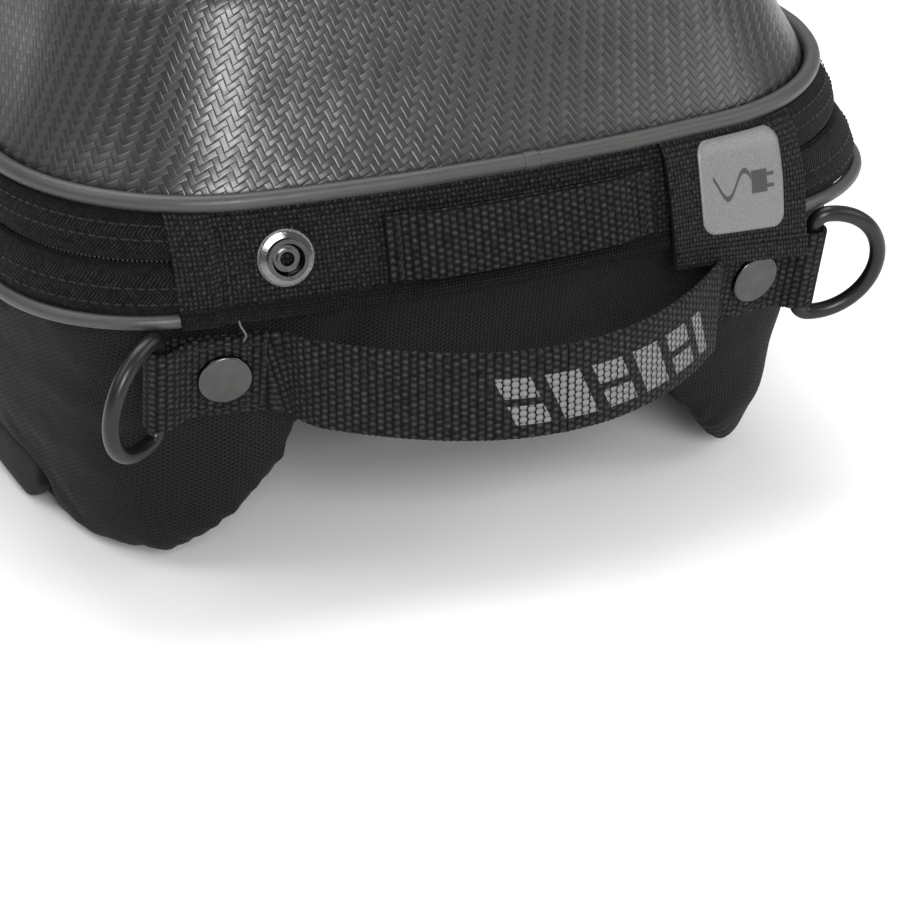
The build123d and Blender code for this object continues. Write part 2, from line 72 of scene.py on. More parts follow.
class Value:
    """A number that a material works out at each place, so that its arithmetic is written plainly."""
    __add__ = __radd__ = operator("ADD")
    __mul__ = __rmul__ = operator("MULTIPLY")
    __sub__, __truediv__, __pow__ = operator("SUBTRACT"), operator("DIVIDE"), operator("POWER")
    __mod__, __floor__, __abs__ = operator("FLOORED_MODULO"), operator("FLOOR"), operator("ABSOLUTE")
    __lt__, __gt__ = operator("LESS_THAN"), operator("GREATER_THAN")

    def __init__(self, shader, socket):
        self.shader, self.socket = shader, socket

    def __rsub__(self, other):
        return self.shader.m("SUBTRACT", other, self)


class Shader:
    """A node material, with short calls for the nodes it uses."""

    def __init__(self, name, rough=0.6, metal=0.0):
        self.mat = bpy.data.materials.new(name)
        self.mat.use_nodes = True
        self.tree = self.mat.node_tree
        self.tree.nodes.clear()
        self.bsdf = self.add("ShaderNodeBsdfPrincipled")
        surface = self.add("ShaderNodeOutputMaterial").inputs["Surface"]
        self.tree.links.new(self.bsdf.outputs[0], surface)
        self.put("Roughness", rough)
        self.put("Metallic", metal)

    def add(self, kind, **values):
        node = self.tree.nodes.new(kind)
        for key, value in values.items():
            setattr(node, key, value)
        return node

    def feed(self, socket, value):
        if isinstance(value, (int, float, tuple)):
            socket.default_value = value
        else:
            self.tree.links.new(getattr(value, "socket", value), socket)

    def put(self, name, value):
        self.feed(self.bsdf.inputs[name], value)

    def m(self, op, *values):
        node = self.add("ShaderNodeMath", operation=op)
        for socket, value in zip(node.inputs, values):
            self.feed(socket, value)
        return Value(self, node.outputs[0])

    def choose(self, which, a, b):
        """a where which is 0, b where it is 1."""
        return a * (1.0 - which) + b * which

    def mix(self, fac, a, b):
        node = self.add("ShaderNodeMix", data_type="RGBA")
        self.feed(node.inputs[0], fac)
        self.feed(node.inputs[6], a)
        self.feed(node.inputs[7], b)
        return node.outputs[2]

    def split(self, vector):
        node = self.add("ShaderNodeSeparateXYZ")
        self.feed(node.inputs[0], vector)
        return [Value(self, output) for output in node.outputs]

    def uv(self, turn=0.0):
        """The mesh's own coordinates in millimetres, along and across."""
        u, v, _ = self.split(self.add("ShaderNodeUVMap", uv_map="weave").outputs[0])
        if turn:
            c, s = math.cos(turn), math.sin(turn)
            return u * c + v * s, v * c - u * s
        return u, v

    def box_uv(self):
        """Coordinates in millimetres on whichever of the three planes the surface faces most."""
        coord = self.add("ShaderNodeTexCoord")
        x, y, z = [value * 1000.0 for value in self.split(coord.outputs["Object"])]
        nx, ny, nz = [abs(value) for value in self.split(coord.outputs["Normal"])]
        up, side = nz > self.m("MAXIMUM", nx, ny), nx > ny
        wall = self.choose(side, x, y)
        return self.choose(up, wall, x), self.choose(up, z, y)

    def noise(self, scale, detail=3.0, rough=0.55):
        """Cloudy noise over the object, with scale in bumps per metre."""
        node = self.add("ShaderNodeTexNoise")
        self.feed(node.inputs["Vector"], self.add("ShaderNodeTexCoord").outputs["Object"])
        node.inputs["Scale"].default_value = scale
        node.inputs["Detail"].default_value = detail
        node.inputs["Roughness"].default_value = rough
        return Value(self, node.outputs["Fac"])

    def ramp(self, value, low, high):
        """0 below low, 1 above high, straight between."""
        node = self.add("ShaderNodeMapRange")
        for socket, item in zip(node.inputs, (value, low, high, 0.0, 1.0)):
            self.feed(socket, item)
        return Value(self, node.outputs[0])

    def between(self, value, low, high):
        """1 between two limits, 0 outside."""
        return (value > low) * (value < high)

    def bump(self, layers):
        """Stacked bumps, each a height from 0 to 1 and its depth in millimetres."""
        normal = None
        for height, depth in layers:
            node = self.add("ShaderNodeBump")
            node.inputs["Strength"].default_value = 1.0
            node.inputs["Distance"].default_value = depth * MM
            self.feed(node.inputs["Height"], height)
            if normal is not None:
                self.feed(node.inputs["Normal"], normal)
            normal = node.outputs[0]
        self.put("Normal", normal)

    def wave(self, value, pitch):
        """1 at multiples of the pitch, 0 halfway between."""
        return self.m("COSINE", value * (2 * math.pi / pitch)) * 0.5 + 0.5

    def tone(self, dark, light, shade):
        """Base colour between two greys."""
        self.put("Base Color", self.mix(shade, dark + (1.0,), light + (1.0,)))

    def cloth(self, sheen):
        """A dull surface with a trace of sheen."""
        self.put("Sheen Weight", sheen)
        self.put("Sheen Roughness", 0.45)
        self.put("Sheen Tint", (0.5, 0.5, 0.52, 1.0))
        self.put("Specular IOR Level", 0.09)


def grey(value, warm=0.02):
    """A near-black with a trace of warmth, from its sRGB value out of 255."""
    linear = (value / 255.0) ** 2.2
    return (linear * (1 + warm), linear, linear * (1 - warm))


def carbon_skin():
    """Moulded skin embossed with a two-by-two twill of flat tows."""
    s = Shader("lid_skin", 0.36)
    tow, turn = 1.95, -1.1
    u, v = s.uv(turn)
    u, v = u / tow, v / tow
    across_u, across_v = s.m("FRACT", u), s.m("FRACT", v)
    k = (math.floor(u) + math.floor(v)) % 4.0
    warp = k < 1.5

    def arch(across):
        """A tow's flat-topped section."""
        return 1.0 - abs(s.m("MULTIPLY_ADD", across, 2.0, -1.0)) ** 5.0

    def dive(along):
        """A tow's rise and fall as it passes over and under."""
        return 0.45 + 0.55 * s.m("SINE", along * (math.pi / 2))

    warp_height = arch(across_u) * dive(k + across_v)
    weft_height = arch(across_v) * 0.6 * dive(k - 2.0 + across_u)
    height = s.choose(warp, weft_height, warp_height)
    # Painted light: the tows' raised tops are painted lighter and the grooves darker (painted shade), and
    # warp tows are painted lighter than weft tows as a painted reflection of the gloss.
    s.tone(grey(20), grey(50), height * 0.45 + warp * 0.4)
    s.put("Roughness", 0.24 + s.noise(260) * 0.14)
    s.put("Specular IOR Level", 0.6)
    s.bump([(s.noise(60, 2), 0.5), (height, 0.12)])
    return s.mat


def oxford(name, dark=2, light=66, pitch=1.25):
    """Coarse plain weave of thick yarns."""
    s = Shader(name, 0.72)
    u, v = s.uv()
    u = u + s.noise(180, 1) * 0.2
    half = math.pi / pitch
    check = s.m("SINE", u * half) * s.m("SINE", v * half)
    strand = abs(check) * 0.75 + (check > 0.0) * 0.25
    # Painted shade: the gaps between the yarns are painted dark; the ramp on fine noise adds uneven tone.
    s.tone(grey(dark), grey(light), strand * s.ramp(s.noise(900, 2), 0.25, 0.75))
    s.cloth(0.04)
    s.bump([(s.noise(45, 2), 0.6), (strand, 0.9)])
    return s.mat


def webbing_weave(printed=False):
    """Ribs across the strap with bumps that step from rib to rib. A printed one has slanted silver bars."""
    rib, bump = 2.2, 1.9
    slant, bar_pitch, bar_start, bar_end = 0.45, 13.6, 1.6, 11.4
    print_start, print_end, print_low, print_high, middle, slot_half = -12.0, 61.0, 4.2, 18.0, 10.9, 1.1
    s = Shader("webbing_printed" if printed else "webbing", 0.7)
    u, v = s.uv()
    step = math.floor(u / rib) % 2.0 * (bump / 2)
    height = abs(s.m("SINE", u * (math.pi / rib))) ** 0.9 * (0.2 + s.wave(v + step, bump) * 0.8)
    # Painted shade: the colour follows the ribs' height, so the gaps between ribs are painted dark; the noise
    # adds uneven tone.
    base = s.mix(height * s.ramp(s.noise(700, 2), 0.2, 0.7), grey(0) + (1.0,), grey(68) + (1.0,))
    if printed:
        slanted = u + v * slant
        bar = s.between(slanted % bar_pitch, bar_start, bar_end)
        slot = (slanted % (2 * bar_pitch) > bar_pitch) * (abs(v - middle) < slot_half)
        inside = s.between(slanted, print_start, print_end) * s.between(v, print_low, print_high)
        mask = bar * (1.0 - slot) * inside * s.ramp(height, 0.10, 0.34)
        base = s.mix(mask, base, grey(128, 0.0) + (1.0,))
        s.put("Roughness", 0.7 - mask * 0.22)
    s.put("Base Color", base)
    s.cloth(0.03)
    s.bump([(height, 1.1)])
    return s.mat


def zip_tape_weave():
    """Herringbone: fine slanted lines that turn over every few millimetres."""
    band, pitch = 2.3, 1.15
    s = Shader("zip_tape", 0.75)
    u, v = s.uv()
    slope = s.m("MULTIPLY_ADD", math.floor(v / band) % 2.0, 2.0, -1.0)
    line = s.wave(u + v * slope, pitch)
    # Painted shade: the grooves between the slanted lines are painted darker.
    s.tone(grey(8), grey(42), line * s.ramp(s.noise(600, 2), 0.2, 0.7))
    s.cloth(0.04)
    s.bump([(s.noise(50, 2), 0.5), (line, 0.35)])
    return s.mat


def knit_mesh():
    """Dark knitted spacer mesh, with a net of small holes over a foam lining."""
    s = Shader("mesh", 0.82)
    u, v = s.box_uv()
    k = 2 * math.pi / 1.15
    waves = [s.m("COSINE", value * k) for value in (u, u * 0.5 + v * 0.866, u * 0.5 - v * 0.866)]
    hole = s.ramp(waves[0] + waves[1] + waves[2], 0.2, 2.2)
    # Painted shade: the holes are painted near-black for the shade down in them; the noise adds uneven tone.
    s.tone(grey(31), grey(4), hole * 0.85 + s.noise(25, 2) * 0.18)
    s.cloth(0.08)
    s.bump([(s.noise(70, 3), 1.0), (1.0 - hole, 0.35)])
    return s.mat


def smooth_lining(name, dark, light, sheen, ripple=0.8):
    """Fine smooth cloth with a faint plain weave and soft ripples."""
    s = Shader(name, 0.62)
    u, v = s.box_uv()
    weave = s.wave(u, 0.7) * s.wave(v, 0.7)
    # Painted shade: the weave's gaps are painted a little darker; the noise adds cloudy uneven tone.
    s.tone(grey(dark), grey(light), weave * 0.4 + s.noise(40, 3) * 0.5)
    s.cloth(sheen)
    s.bump([(s.noise(55, 3), ripple), (weave, 0.08)])
    return s.mat


def open_mesh():
    """Pocket netting with square holes."""
    s = Shader("pocket_mesh", 0.75)
    cords = [s.ramp(s.wave(value, 2.0), 0.55, 0.8) for value in s.box_uv()]
    cord = s.m("MAXIMUM", *cords)
    # Painted shade: the openings between the cords are painted dark for the shade behind the netting.
    s.tone(grey(12), grey(52), cord)
    s.cloth(0.1)
    s.bump([(cord, 0.4)])
    return s.mat


def vinyl(name, dark=44, light=66, rough=0.42):
    """Smooth satin vinyl with a fine grain and faint rubbed patches."""
    s = Shader(name, rough)
    grain = s.noise(1500, 2)
    s.tone(grey(dark), grey(light), s.noise(45, 3) * 0.6 + grain * 0.3)
    s.put("Roughness", rough - 0.08 + s.noise(200, 3) * 0.2)
    s.bump([(s.noise(110, 3), 0.25), (grain, 0.05)])
    return s.mat


def metal(name, dark, light, rough, metallic=1.0, scratch=0.1, depth=0.03):
    """Metal with uneven polish, cloudy tone and fine scratches."""
    s = Shader(name, rough, metallic)
    cloud = s.noise(160, 4, 0.65)
    s.tone(grey(dark, 0.01), grey(light, 0.01), cloud)
    brushed = s.add("ShaderNodeTexNoise")
    mapping = s.add("ShaderNodeMapping")
    mapping.inputs["Scale"].default_value = (300.0, 2600.0, 2600.0)
    s.feed(mapping.inputs[0], s.add("ShaderNodeTexCoord").outputs["Object"])
    s.feed(brushed.inputs["Vector"], mapping.outputs[0])
    lines = Value(s, brushed.outputs["Fac"])
    s.put("Roughness", rough + (lines - 0.4) * scratch)
    s.bump([(cloud, depth), (lines, depth * 0.4)])
    return s.mat


def clear_film():
    """Clear plastic."""
    s = Shader("clear_plastic", 0.12)
    s.put("Base Color", (0.9, 0.9, 0.9, 1.0))
    s.put("Transmission Weight", 0.9)
    s.put("IOR", 1.46)
    s.bump([(s.noise(300, 2), 0.03)])
    return s.mat


def reflective_film():
    """Silver transfer: tiny glass beads and a generic cable and plug drawn in dark lines."""
    s = Shader("reflective", 0.45)
    u, v = s.uv()
    u, v = u - LABEL_MIDDLE[0], v - LABEL_MIDDLE[1]

    def bar(x, y, half_x, half_y):
        """1 inside a rectangle with soft edges."""
        inside_x = s.ramp(abs(u - x), half_x + 0.12, half_x - 0.12)
        return inside_x * s.ramp(abs(v - y), half_y + 0.12, half_y - 0.12)

    off_cable = abs(v - s.m("SINE", (u + 2.0) * 0.55) * 3.4) - 0.75
    cable = s.ramp(off_cable, 0.15, -0.15) * bar(-3.2, 0.0, 6.2, 6.0)
    plug = bar(5.6, 0.0, 2.6, 3.0)
    pins = s.m("MAXIMUM", bar(9.2, 1.5, 1.3, 0.5), bar(9.2, -1.5, 1.3, 0.5))
    mark = s.m("MAXIMUM", s.m("MAXIMUM", cable, plug), pins)
    sparkle = s.noise(2600, 2)
    face = s.mix(s.ramp(sparkle, 0.3, 0.7), grey(98, 0.0) + (1.0,), grey(122, 0.0) + (1.0,))
    s.put("Base Color", s.mix(mark, face, grey(50) + (1.0,)))
    s.put("Metallic", (1.0 - mark) * 0.35)
    s.put("Roughness", 0.38 + sparkle * 0.15)
    s.bump([(s.noise(90, 2), 0.3), (sparkle, 0.04)])
    return s.mat


def hook_and_loop():
    """Fuzzy patch."""
    s = Shader("hook", 0.9)
    fuzz = s.noise(2200, 4, 0.8)
    s.tone(grey(8), grey(40), fuzz)
    s.cloth(0.1)
    s.bump([(fuzz, 0.7)])
    return s.mat


def thread(name, value):
    """Twisted thread, a little uneven in tone."""
    s = Shader(name, 0.6)
    s.tone(grey(value - 12), grey(value + 12), s.noise(1800, 2))
    s.cloth(0.2)
    s.bump([(s.noise(2400, 2), 0.1)])
    return s.mat


MAT = {
    "lid_skin": carbon_skin(), "panel_weave": oxford("panel_weave"), "webbing": webbing_weave(),
    "webbing_printed": webbing_weave(True), "zip_tape": zip_tape_weave(), "mesh": knit_mesh(),
    "lining": smooth_lining("lining", 56, 76, 0.08), "saddle": smooth_lining("saddle", 18, 32, 0.06, 1.0),
    "pocket_mesh": open_mesh(), "piping": vinyl("piping"), "grommet": vinyl("grommet", 22, 34, 0.7),
    "board": vinyl("board", 34, 46, 0.6), "zip_coil": vinyl("zip_coil", 18, 34, 0.35),
    "nickel": metal("nickel", 70, 130, 0.08), "magnet": metal("magnet", 150, 180, 0.35),
    "slider_metal": metal("slider_metal", 24, 40, 0.32, 0.4),
    "ring_steel": metal("ring_steel", 20, 34, 0.30, 0.35),
    "rivet_metal": metal("rivet_metal", 62, 92, 0.20, 1.0, 0.12, 0.03),
    "clear_plastic": clear_film(), "reflective": reflective_film(), "hook": hook_and_loop(),
    "thread": thread("thread", 34), "pale_thread": thread("pale_thread", 92),
    "binding": oxford("binding", 5, 40, 0.9),
}

for subpart in frame["record"]["subparts"]:
    shown = nodes[subpart["node"]]
    shown.data.materials.clear()
    shown.data.materials.append(MAT[subpart["material_slot"]])


# ------------------------------------------------------------------ meshes

def make(name, verts, faces, material, body, uvs=None, replaces=(), wrap=0.0, other=None):
    """A piece from millimetre vertices. uvs gives one coordinate pair for each vertex.

    wrap is the length after which u starts again. other is a second set of pairs, and which vertices want it.
    """
    mesh = bpy.data.meshes.new(name)
    mesh.from_pydata([tuple(p) for p in np.asarray(verts) * MM], [], faces)
    mesh.polygons.foreach_set("use_smooth", [True] * len(mesh.polygons))
    if uvs is not None:
        layer = mesh.uv_layers.new(name="weave")
        loops = np.zeros(len(mesh.loops), dtype=np.int32)
        mesh.loops.foreach_get("vertex_index", loops)
        sizes = np.array([len(face) for face in faces])
        starts = np.concatenate([[0], np.cumsum(sizes)[:-1]])
        uv = np.asarray(uvs, dtype=np.float32)[loops]
        if wrap:
            spread = np.maximum.reduceat(uv[:, 0], starts) - np.minimum.reduceat(uv[:, 0], starts)
            uv[:, 0] += wrap * (np.repeat(spread > wrap / 2, sizes) & (uv[:, 0] < wrap / 2))
        if other is not None:
            wanted = np.repeat(np.maximum.reduceat(other[1][loops].astype(int), starts), sizes)[:, None]
            uv = np.where(wanted > 0, np.asarray(other[0], dtype=np.float32)[loops], uv)
        layer.data.foreach_set("uv", uv.astype(np.float32).ravel())
    mesh.materials.append(MAT[material])
    mesh.validate()
    piece = bpy.data.objects.new(name, mesh)
    bpy.context.scene.collection.objects.link(piece)
    if body:
        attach(piece, body)
    if replaces:
        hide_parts(*replaces)
    return piece


def grid_faces(rows, columns, wrap_rows=False, wrap_columns=False, flip=False):
    """Quads between a grid's points, which may close on itself either way."""
    i = np.arange(rows if wrap_rows else rows - 1)[:, None]
    j = np.arange(columns if wrap_columns else columns - 1)[None, :]
    a, b = i * columns + j, i * columns + (j + 1) % columns
    c, d = ((i + 1) % rows) * columns + (j + 1) % columns, ((i + 1) % rows) * columns + j
    quads = np.stack([a, b, c, d] if not flip else [d, c, b, a], axis=-1)
    return [tuple(int(v) for v in q) for q in quads.reshape(-1, 4)]


def outline(grow, corner):
    """The plan at one height, from the middle of the front round past +X: points, outward normals and run."""
    half, front, rear, bow = HALF + grow, FRONT - grow, REAR + grow, BOW + grow
    corner_x = half - corner
    bow_y = front + bow
    corner_y = bow_y - math.sqrt((bow - corner) ** 2 - corner_x ** 2)
    sweep = math.atan2(corner_x, bow_y - corner_y)

    def arc(cx, cy, radius, start, end, count):
        t = np.linspace(start, end, count, endpoint=False)
        normal = np.stack([np.sin(t), -np.cos(t)], 1)
        return np.array([cx, cy]) + radius * normal, normal

    def straight(a, b, normal, count):
        t = np.linspace(0, 1, count, endpoint=False)[:, None]
        return np.array(a) * (1 - t) + np.array(b) * t, np.tile(normal, (count, 1))

    rear_y = rear - corner
    parts = [arc(0, bow_y, bow, 0, sweep, 120),
             arc(corner_x, corner_y, corner, sweep, math.pi / 2, 120),
             straight((half, corner_y), (half, rear_y), (1.0, 0.0), 60),
             arc(corner_x, rear_y, corner, math.pi / 2, math.pi, 120),
             straight((corner_x, rear), (-corner_x, rear), (0.0, 1.0), 60),
             arc(-corner_x, rear_y, corner, math.pi, 1.5 * math.pi, 120),
             straight((-half, rear_y), (-half, corner_y), (-1.0, 0.0), 60),
             arc(-corner_x, corner_y, corner, 1.5 * math.pi, 2 * math.pi - sweep, 120),
             arc(0, bow_y, bow, -sweep, 0, 120)]
    points = np.concatenate([p for p, _ in parts])
    normals = np.concatenate([n for _, n in parts])
    points = np.vstack([points, points[:1]])
    normals = np.vstack([normals, normals[:1]])
    run = np.concatenate([[0], np.cumsum(np.linalg.norm(np.diff(points, axis=0), axis=1))])
    return points, normals, run


def end_caps(rows, columns, flip=False):
    """One face over each open end of a grid whose rows close on themselves."""
    first = tuple(row * columns for row in range(rows))
    last = tuple(row * columns + columns - 1 for row in range(rows))[::-1]
    return [first[::-1], last[::-1]] if flip else [first, last]


def stretch(grow, corner, z, span, count):
    """Points and outward normals along part of the plan.

    span is "all", ("front", x0, x1), or ("round", x), which leaves out the front between -x and x.
    """
    points, normals, run = outline(grow, corner)
    length = run[-1]

    def at_front(x):
        """The run where the front half of the plan reaches x."""
        quarter = slice(0, 240)
        return math.copysign(np.interp(abs(x), points[quarter, 0], run[quarter]), x)

    if span == "all":
        s = np.linspace(0, length, count, endpoint=False) + length / 2
    elif span[0] == "front":
        s = np.linspace(at_front(span[1]), at_front(span[2]), count)
    else:
        s = np.linspace(at_front(span[1]), length - at_front(span[1]), count)
    s = s % length
    place = np.stack([np.interp(s, run, points[:, k]) for k in (0, 1)], 1)
    normal = np.stack([np.interp(s, run, normals[:, k]) for k in (0, 1)], 1)
    normal /= np.linalg.norm(normal, axis=1)[:, None]
    return (np.column_stack([place, np.full(len(s), z)]), np.column_stack([normal, np.zeros(len(s))]))


def run_along(points):
    """The length of a line from its start to each of its points."""
    return np.concatenate([[0], np.cumsum(np.linalg.norm(np.diff(points, axis=0), axis=1))])


def band_at(z):
    """How far the band's plan stands out at a height, and its corner radius."""
    down = (SEAM_Z - z) / BAND
    return FLARE * down, CORNER + (LOW_CORNER - CORNER) * down


def loft(name, section, span, count, material, body, push, plan=band_at, replaces=(), flip=False):
    """Carries a closed section of (outset, height) points along the plan.

    push(points, z) gives extra outset.
    """
    rows = []
    for outset, z in section:
        grow, corner = plan(z)
        p, n = stretch(grow + outset, max(corner + outset, 1.0), z, span, count)
        rows.append(p + n * push(p, z)[:, None])
    rows = np.array(rows)
    wrap = span == "all"
    faces = grid_faces(len(section), count, True, wrap, flip)
    if not wrap:
        faces += end_caps(len(section), count, flip)
    along, across = run_along(rows[len(section) // 2]), run_along(np.array(section))
    uvs = np.stack(np.broadcast_arrays(along[None, :], across[:, None]), -1).reshape(-1, 2)
    around = along[-1] + (along[1] - along[0]) if wrap else 0.0
    return make(name, rows.reshape(-1, 3), faces, material, body, uvs, replaces, around)


def sheet_section(face, thickness, steps=3):
    """Closes an outer face line, from top to bottom, into a thin section with rounded ends."""
    face = np.array(face, dtype=float)
    back = face[::-1] - np.array([thickness, 0.0])
    r = thickness / 2

    def turn(end, way):
        """A half round from the outer face to the inner (way -1) or back (way 1)."""
        angles = np.radians(np.linspace(-90, 90, steps + 2)[1:-1] * way)
        return [(end[0] - r - way * r * math.sin(a), end[1] + way * r * math.cos(a)) for a in angles]

    return [tuple(p) for p in face] + turn(face[-1], -1) + [tuple(p) for p in back] + turn(face[0], 1)


def curve_through(points, per=8):
    """A smooth line through points."""
    p = np.array(points, dtype=float)
    p = np.vstack([2 * p[0] - p[1], p, 2 * p[-1] - p[-2]])
    out = []
    for k in range(1, len(p) - 2):
        t = np.linspace(0, 1, per, endpoint=False)[:, None]
        a, b, c, d = p[k - 1], p[k], p[k + 1], p[k + 2]
        out.append(0.5 * (2 * b + (c - a) * t + (2 * a - 5 * b + 4 * c - d) * t ** 2 +
                          (3 * b - a - 3 * c + d) * t ** 3))
    out.append(p[-2][None, :])
    return np.vstack(out)


def stitches(name, places, material, body, length, radius=0.3, sink=0.05):
    """Thread stitches, one small rounded bar for each (place, direction, normal)."""
    verts, faces = [], []
    ring = 6
    shape = ((-0.5, 0.25), (-0.38, 0.85), (-0.15, 1.0), (0.15, 1.0), (0.38, 0.85), (0.5, 0.25))
    for place, direction, normal in places:
        place, direction, normal = (np.array(v, dtype=float) for v in (place, direction, normal))
        direction /= np.linalg.norm(direction)
        normal -= direction * normal.dot(direction)
        normal /= np.linalg.norm(normal)
        side = np.cross(direction, normal)
        start = len(verts)
        for along, fat in shape:
            for k in range(ring):
                a = 2 * math.pi * k / ring
                verts.append(place + direction * along * length + radius * fat * (
                    side * math.cos(a) + normal * (math.sin(a) * 0.8)) + normal * (fat * radius * 0.5 - sink))
        faces += [tuple(start + v for v in f) for f in grid_faces(len(shape), ring, False, True)]
        faces.append(tuple(start + k for k in range(ring))[::-1])
        faces.append(tuple(start + (len(shape) - 1) * ring + k for k in range(ring)))
    return make(name, verts, faces, material, body)


def plan_stitches(outset, z, pitch):
    """Places for a row of stitches along the zip."""
    grow, corner = band_at(z)
    longest_run, samples_per_stitch, tilt = 1100, 3, np.array([0, 0, 0.22])
    count = int(longest_run / pitch)
    p, n = stretch(grow + outset, corner + outset, z, ("round", ZIP_END), count * samples_per_stitch)
    p = p + n * tape_push(p, z)[:, None]
    out = []
    run, last = 0.0, None
    for k in range(len(p) - 1):
        step = np.linalg.norm(p[k + 1] - p[k])
        run += step
        if last is None or run - last >= pitch:
            last = run
            out.append((p[k], p[k + 1] - p[k], n[k] + tilt))
    return out


def upright_stitches(x, heights, outset, direction, push):
    """Places for a row of stitches that climbs the band at x."""
    out = []
    for z in heights:
        grow, corner = band_at(z)
        p, n = stretch(grow + outset, corner + outset, z, ("front", x - 0.5, x + 0.5), 3)
        out.append(((p + n * push(p, z)[:, None])[1], direction, n[1]))
    return out


def wobble(p, size, scale, seed=0.0):
    """Smooth uneven offsets for an array of points."""
    at = [Vector((q[0] / scale + seed, q[1] / scale, q[2] / scale)) for q in p]
    return np.array([noise.noise(q) for q in at]) * size


def fade(value, start, end):
    """0 at start and before it, 1 at end and beyond it, straight between."""
    return np.clip((value - start) / (end - start), 0, 1)


# ------------------------------------------------------------------ lid

def lid_skin():
    """The moulded skin: walls and shoulder follow the plan, and rings close over the nearly flat top."""
    count, top_rings, flat_rows, top_z, spine_z = 360, 17, 14, 56.8, 57.0
    # Inset and height over the piping: a concave foot, a steady lean, then the rounded shoulder.
    profile = curve_through([(2.4, -1.2), (3.3, 2.0), (5.4, 6.0), (8.6, 12.0), (13.2, 22.0), (17.2, 32.0),
                             (20.6, 40.0), (22.6, 45.0), (25.6, 49.6), (30.0, 53.2), (36.0, 55.4),
                             (44.0, 56.3), (58.0, top_z)], 5)
    rows = []
    for inset, up in profile:
        p, n = stretch(-inset, CORNER - inset * 0.72, SEAM_Z + up, "all", count)
        rows.append(p + n * (wobble(p, 0.7, 70.0) * fade(up, 2.0, 22.0))[:, None])
    edge = rows[-1]
    spine = np.column_stack([np.zeros(count), np.clip(edge[:, 1], -40, 70), np.full(count, SEAM_Z + spine_z)])
    for t in np.linspace(0, 1, top_rings + 1)[1:]:
        p = edge * (1 - t) + spine * t
        crown = 0.25 * math.sin(t * math.pi / 2)
        p[:, 2] = SEAM_Z + top_z + crown + wobble(p, 0.45, 60.0, 9.0) * min(1, 3 * t)
        rows.append(p)
    rows = np.array(rows)
    step = np.linalg.norm(np.diff(rows, axis=0), axis=2).mean(axis=1)
    across = np.concatenate([[0], np.cumsum(step)])
    along = run_along(stretch(0, CORNER, SEAM_Z, "all", count)[0])
    uvs = np.stack(np.broadcast_arrays(along[None, :], across[:, None]), -1).reshape(-1, 2)
    verts, faces = rows.reshape(-1, 3), grid_faces(len(rows), count, False, True)
    on_top = np.repeat(np.arange(len(rows)) >= len(profile) - flat_rows, count)
    make("lid_outer_skin", verts, faces, "lid_skin", "lid", uvs, ("lid_shell",),
         along[-1] + along[1], (verts[:, :2], on_top))


lid_skin()


# ------------------------------------------------------------------ piping

UPPER_CORD, LAP_CORD, LOWER_CORD = 2.4, 2.62, 2.0
LAP = (6.4, 10.6)           # where the upper piping's two ends lap


def tube_section(radius, z, count=14):
    """A round section for a cord."""
    return [(radius * math.cos(a), z + radius * math.sin(a))
            for a in np.linspace(0, 2 * math.pi, count, endpoint=False)]


def upper_cord_at(z):
    """The upper piping keeps the plan's own outline."""
    return 0.0, CORNER


def lower_cord_at(z):
    """The lower piping keeps the outline at the foot of the band."""
    return FLARE, LOW_CORNER


def upper_cord_push(p, z):
    return wobble(p, 0.35, 26.0, 3.0)


def lower_cord_push(p, z):
    return wobble(p, 0.3, 22.0, 5.0)


loft("upper_piping_cord", tube_section(UPPER_CORD, SEAM_Z), "all", 520, "piping", "lid",
     upper_cord_push, upper_cord_at, ("upper_piping",), flip=True)
loft("upper_piping_lap", tube_section(LAP_CORD, SEAM_Z), ("front", *LAP), 12, "piping", "lid",
     upper_cord_push, upper_cord_at, flip=True)
loft("lower_piping_cord", tube_section(LOWER_CORD, LOWER_Z), ("round", ZIP_END), 460, "piping", "root",
     lower_cord_push, lower_cord_at, ("lower_piping",), flip=True)


# ------------------------------------------------------------------ zip

STITCH_PITCH, TEETH_PITCH = 2.9, 1.25


def tape_push(p, z):
    return wobble(p, 0.5, 30.0, 7.0)


upper_face = [(0.1, 115.2), (1.0, 113.4), (1.7, 110.6), (1.5, 107.8), (0.9, 105.9), (0.1, 104.75)]
lower_face = [(0.0, 102.7), (0.9, 101.4), (1.7, 98.8), (1.9, 95.8), (1.4, 93.2), (0.5, 91.6)]
for part, node_end, body, face, teeth_z, rows in (
        ("top", "upper", "lid", upper_face, 105.0, [(1.75, 109.6), (1.5, 113.0)]),
        ("bottom", "lower", "root", lower_face, 102.6, [(1.85, 98.0), (1.6, 94.0)])):
    loft(f"zip_tape_{part}", sheet_section(curve_through(face, 4), 1.3), ("round", ZIP_END), 900, "zip_tape",
         body, tape_push, replaces=(f"zip_tape_{node_end}",))
    teeth = [(place, (0, 0, 1), normal) for place, _, normal in plan_stitches(-2.2, teeth_z, TEETH_PITCH)]
    coil = stitches(f"zip_coil_{part}", teeth, "zip_coil", body, 3.4, 0.5, 0.0)
    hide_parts(f"zip_coil_{node_end}")
    sewn = [place for outset, z in rows for place in plan_stitches(outset, z, STITCH_PITCH)]
    stitches(f"zip_stitching_{part}", sewn, "thread", body, 2.2, 0.26)


# ------------------------------------------------------------------ front panel

def panel_push(p, z):
    """Soft waves in the cloth, flat under the hardware, and raised at its folded ends."""
    fold = fade(np.abs(p[:, 0]), 79.5, 82.0) * 1.5
    return wobble(p, 1.1, 34.0, 11.0) * fade(z, 115.0, 109.0) + fold


